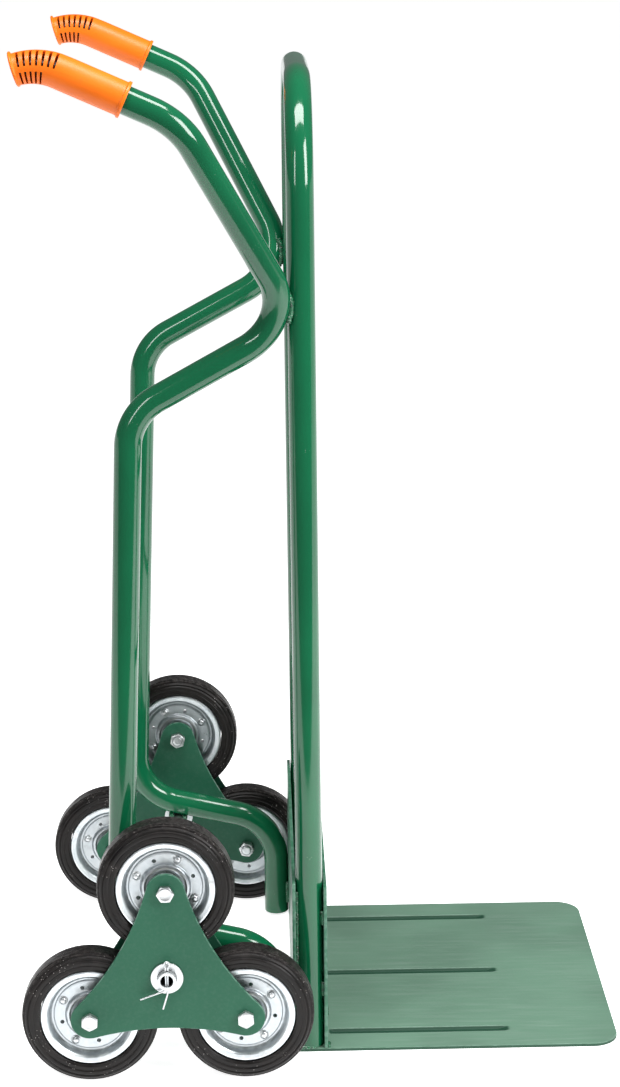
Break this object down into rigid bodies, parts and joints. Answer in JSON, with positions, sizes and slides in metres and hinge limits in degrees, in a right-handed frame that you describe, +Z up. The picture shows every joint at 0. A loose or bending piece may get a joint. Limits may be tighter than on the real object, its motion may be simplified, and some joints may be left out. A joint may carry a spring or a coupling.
{
  "type": "stair climbing hand truck",
  "caption": "Steel stair-climbing hand truck: tall back loop, flat toe plate, S-bent handle tubes with plastic grips, and a turning star of wheels on each side.",
  "frame": {"origin": "on the floor, under the middle of the whole truck at rest", "axes": "+Z up, +X forward towards the toe plate, +Y to the left hand of the person who pushes"},
  "size_m": [0.711, 0.646, 1.204],
  "materials": {
    "green_paint": "glossy green paint",
    "green_plate": "satin green paint",
    "zinc": "bright zinc plating",
    "rim_zinc": "zinc-plated pressing",
    "orange_plastic": "satin orange plastic",
    "black_rubber": "matt black rubber",
    "nylon": "natural nylon"
  },
  "bodies": {
    "frame": {"back_loop": "green_paint", "cross_bar_1": "green_paint", "cross_bar_2": "green_paint", "cross_bar_3": "green_paint", "handle_tube_left": "green_paint", "handle_tube_right": "green_paint", "grip_left": "orange_plastic", "grip_right": "orange_plastic", "toe_plate": "green_plate", "front_plate": "green_paint", "rear_plate": "green_paint", "axle": "zinc", "inner_washer_left": "zinc", "inner_washer_right": "zinc", "outer_washer_left": "zinc", "outer_washer_right": "zinc", "split_pin_left": "zinc", "split_pin_right": "zinc"},
    "star_left": {"star_outer_plate_left": "green_plate", "star_inner_plate_left": "green_plate", "star_sleeve_left": "green_plate", "bolt_left_top": "zinc", "nut_left_top": "zinc", "bolt_left_rear": "zinc", "nut_left_rear": "zinc", "bolt_left_front": "zinc", "nut_left_front": "zinc"},
    "star_right": {"star_outer_plate_right": "green_plate", "star_inner_plate_right": "green_plate", "star_sleeve_right": "green_plate", "bolt_right_top": "zinc", "nut_right_top": "zinc", "bolt_right_rear": "zinc", "nut_right_rear": "zinc", "bolt_right_front": "zinc", "nut_right_front": "zinc"},
    "wheel_left_top": {"tyre_left_top": "black_rubber", "rim_outer_left_top": "rim_zinc", "rim_inner_left_top": "rim_zinc", "bush_left_top": "nylon"},
    "wheel_left_rear": {"tyre_left_rear": "black_rubber", "rim_outer_left_rear": "rim_zinc", "rim_inner_left_rear": "rim_zinc", "bush_left_rear": "nylon"},
    "wheel_left_front": {"tyre_left_front": "black_rubber", "rim_outer_left_front": "rim_zinc", "rim_inner_left_front": "rim_zinc", "bush_left_front": "nylon"},
    "wheel_right_top": {"tyre_right_top": "black_rubber", "rim_outer_right_top": "rim_zinc", "rim_inner_right_top": "rim_zinc", "bush_right_top": "nylon"},
    "wheel_right_rear": {"tyre_right_rear": "black_rubber", "rim_outer_right_rear": "rim_zinc", "rim_inner_right_rear": "rim_zinc", "bush_right_rear": "nylon"},
    "wheel_right_front": {"tyre_right_front": "black_rubber", "rim_outer_right_front": "rim_zinc", "rim_inner_right_front": "rim_zinc", "bush_right_front": "nylon"}
  },
  "joints": [
    {"name": "star_spin_left", "type": "hinge", "parent": "frame", "child": "star_left", "pos_m": [-0.18452, 0.2615, 0.13251], "axis": [0, 1, 0], "continuous": true},
    {"name": "star_spin_right", "type": "hinge", "parent": "frame", "child": "star_right", "pos_m": [-0.18452, -0.2615, 0.13251], "axis": [0, 1, 0], "continuous": true},
    {"name": "wheel_spin_left_top", "type": "hinge", "parent": "star_left", "child": "wheel_left_top", "pos_m": [-0.18452, 0.2615, 0.23753], "axis": [0, 1, 0], "continuous": true},
    {"name": "wheel_spin_left_rear", "type": "hinge", "parent": "star_left", "child": "wheel_left_rear", "pos_m": [-0.27548, 0.2615, 0.08], "axis": [0, 1, 0], "continuous": true},
    {"name": "wheel_spin_left_front", "type": "hinge", "parent": "star_left", "child": "wheel_left_front", "pos_m": [-0.09358, 0.2615, 0.08], "axis": [0, 1, 0], "continuous": true},
    {"name": "wheel_spin_right_top", "type": "hinge", "parent": "star_right", "child": "wheel_right_top", "pos_m": [-0.18452, -0.2615, 0.23753], "axis": [0, 1, 0], "continuous": true},
    {"name": "wheel_spin_right_rear", "type": "hinge", "parent": "star_right", "child": "wheel_right_rear", "pos_m": [-0.27548, -0.2615, 0.08], "axis": [0, 1, 0], "continuous": true},
    {"name": "wheel_spin_right_front", "type": "hinge", "parent": "star_right", "child": "wheel_right_front", "pos_m": [-0.09358, -0.2615, 0.08], "axis": [0, 1, 0], "continuous": true}
  ]
}
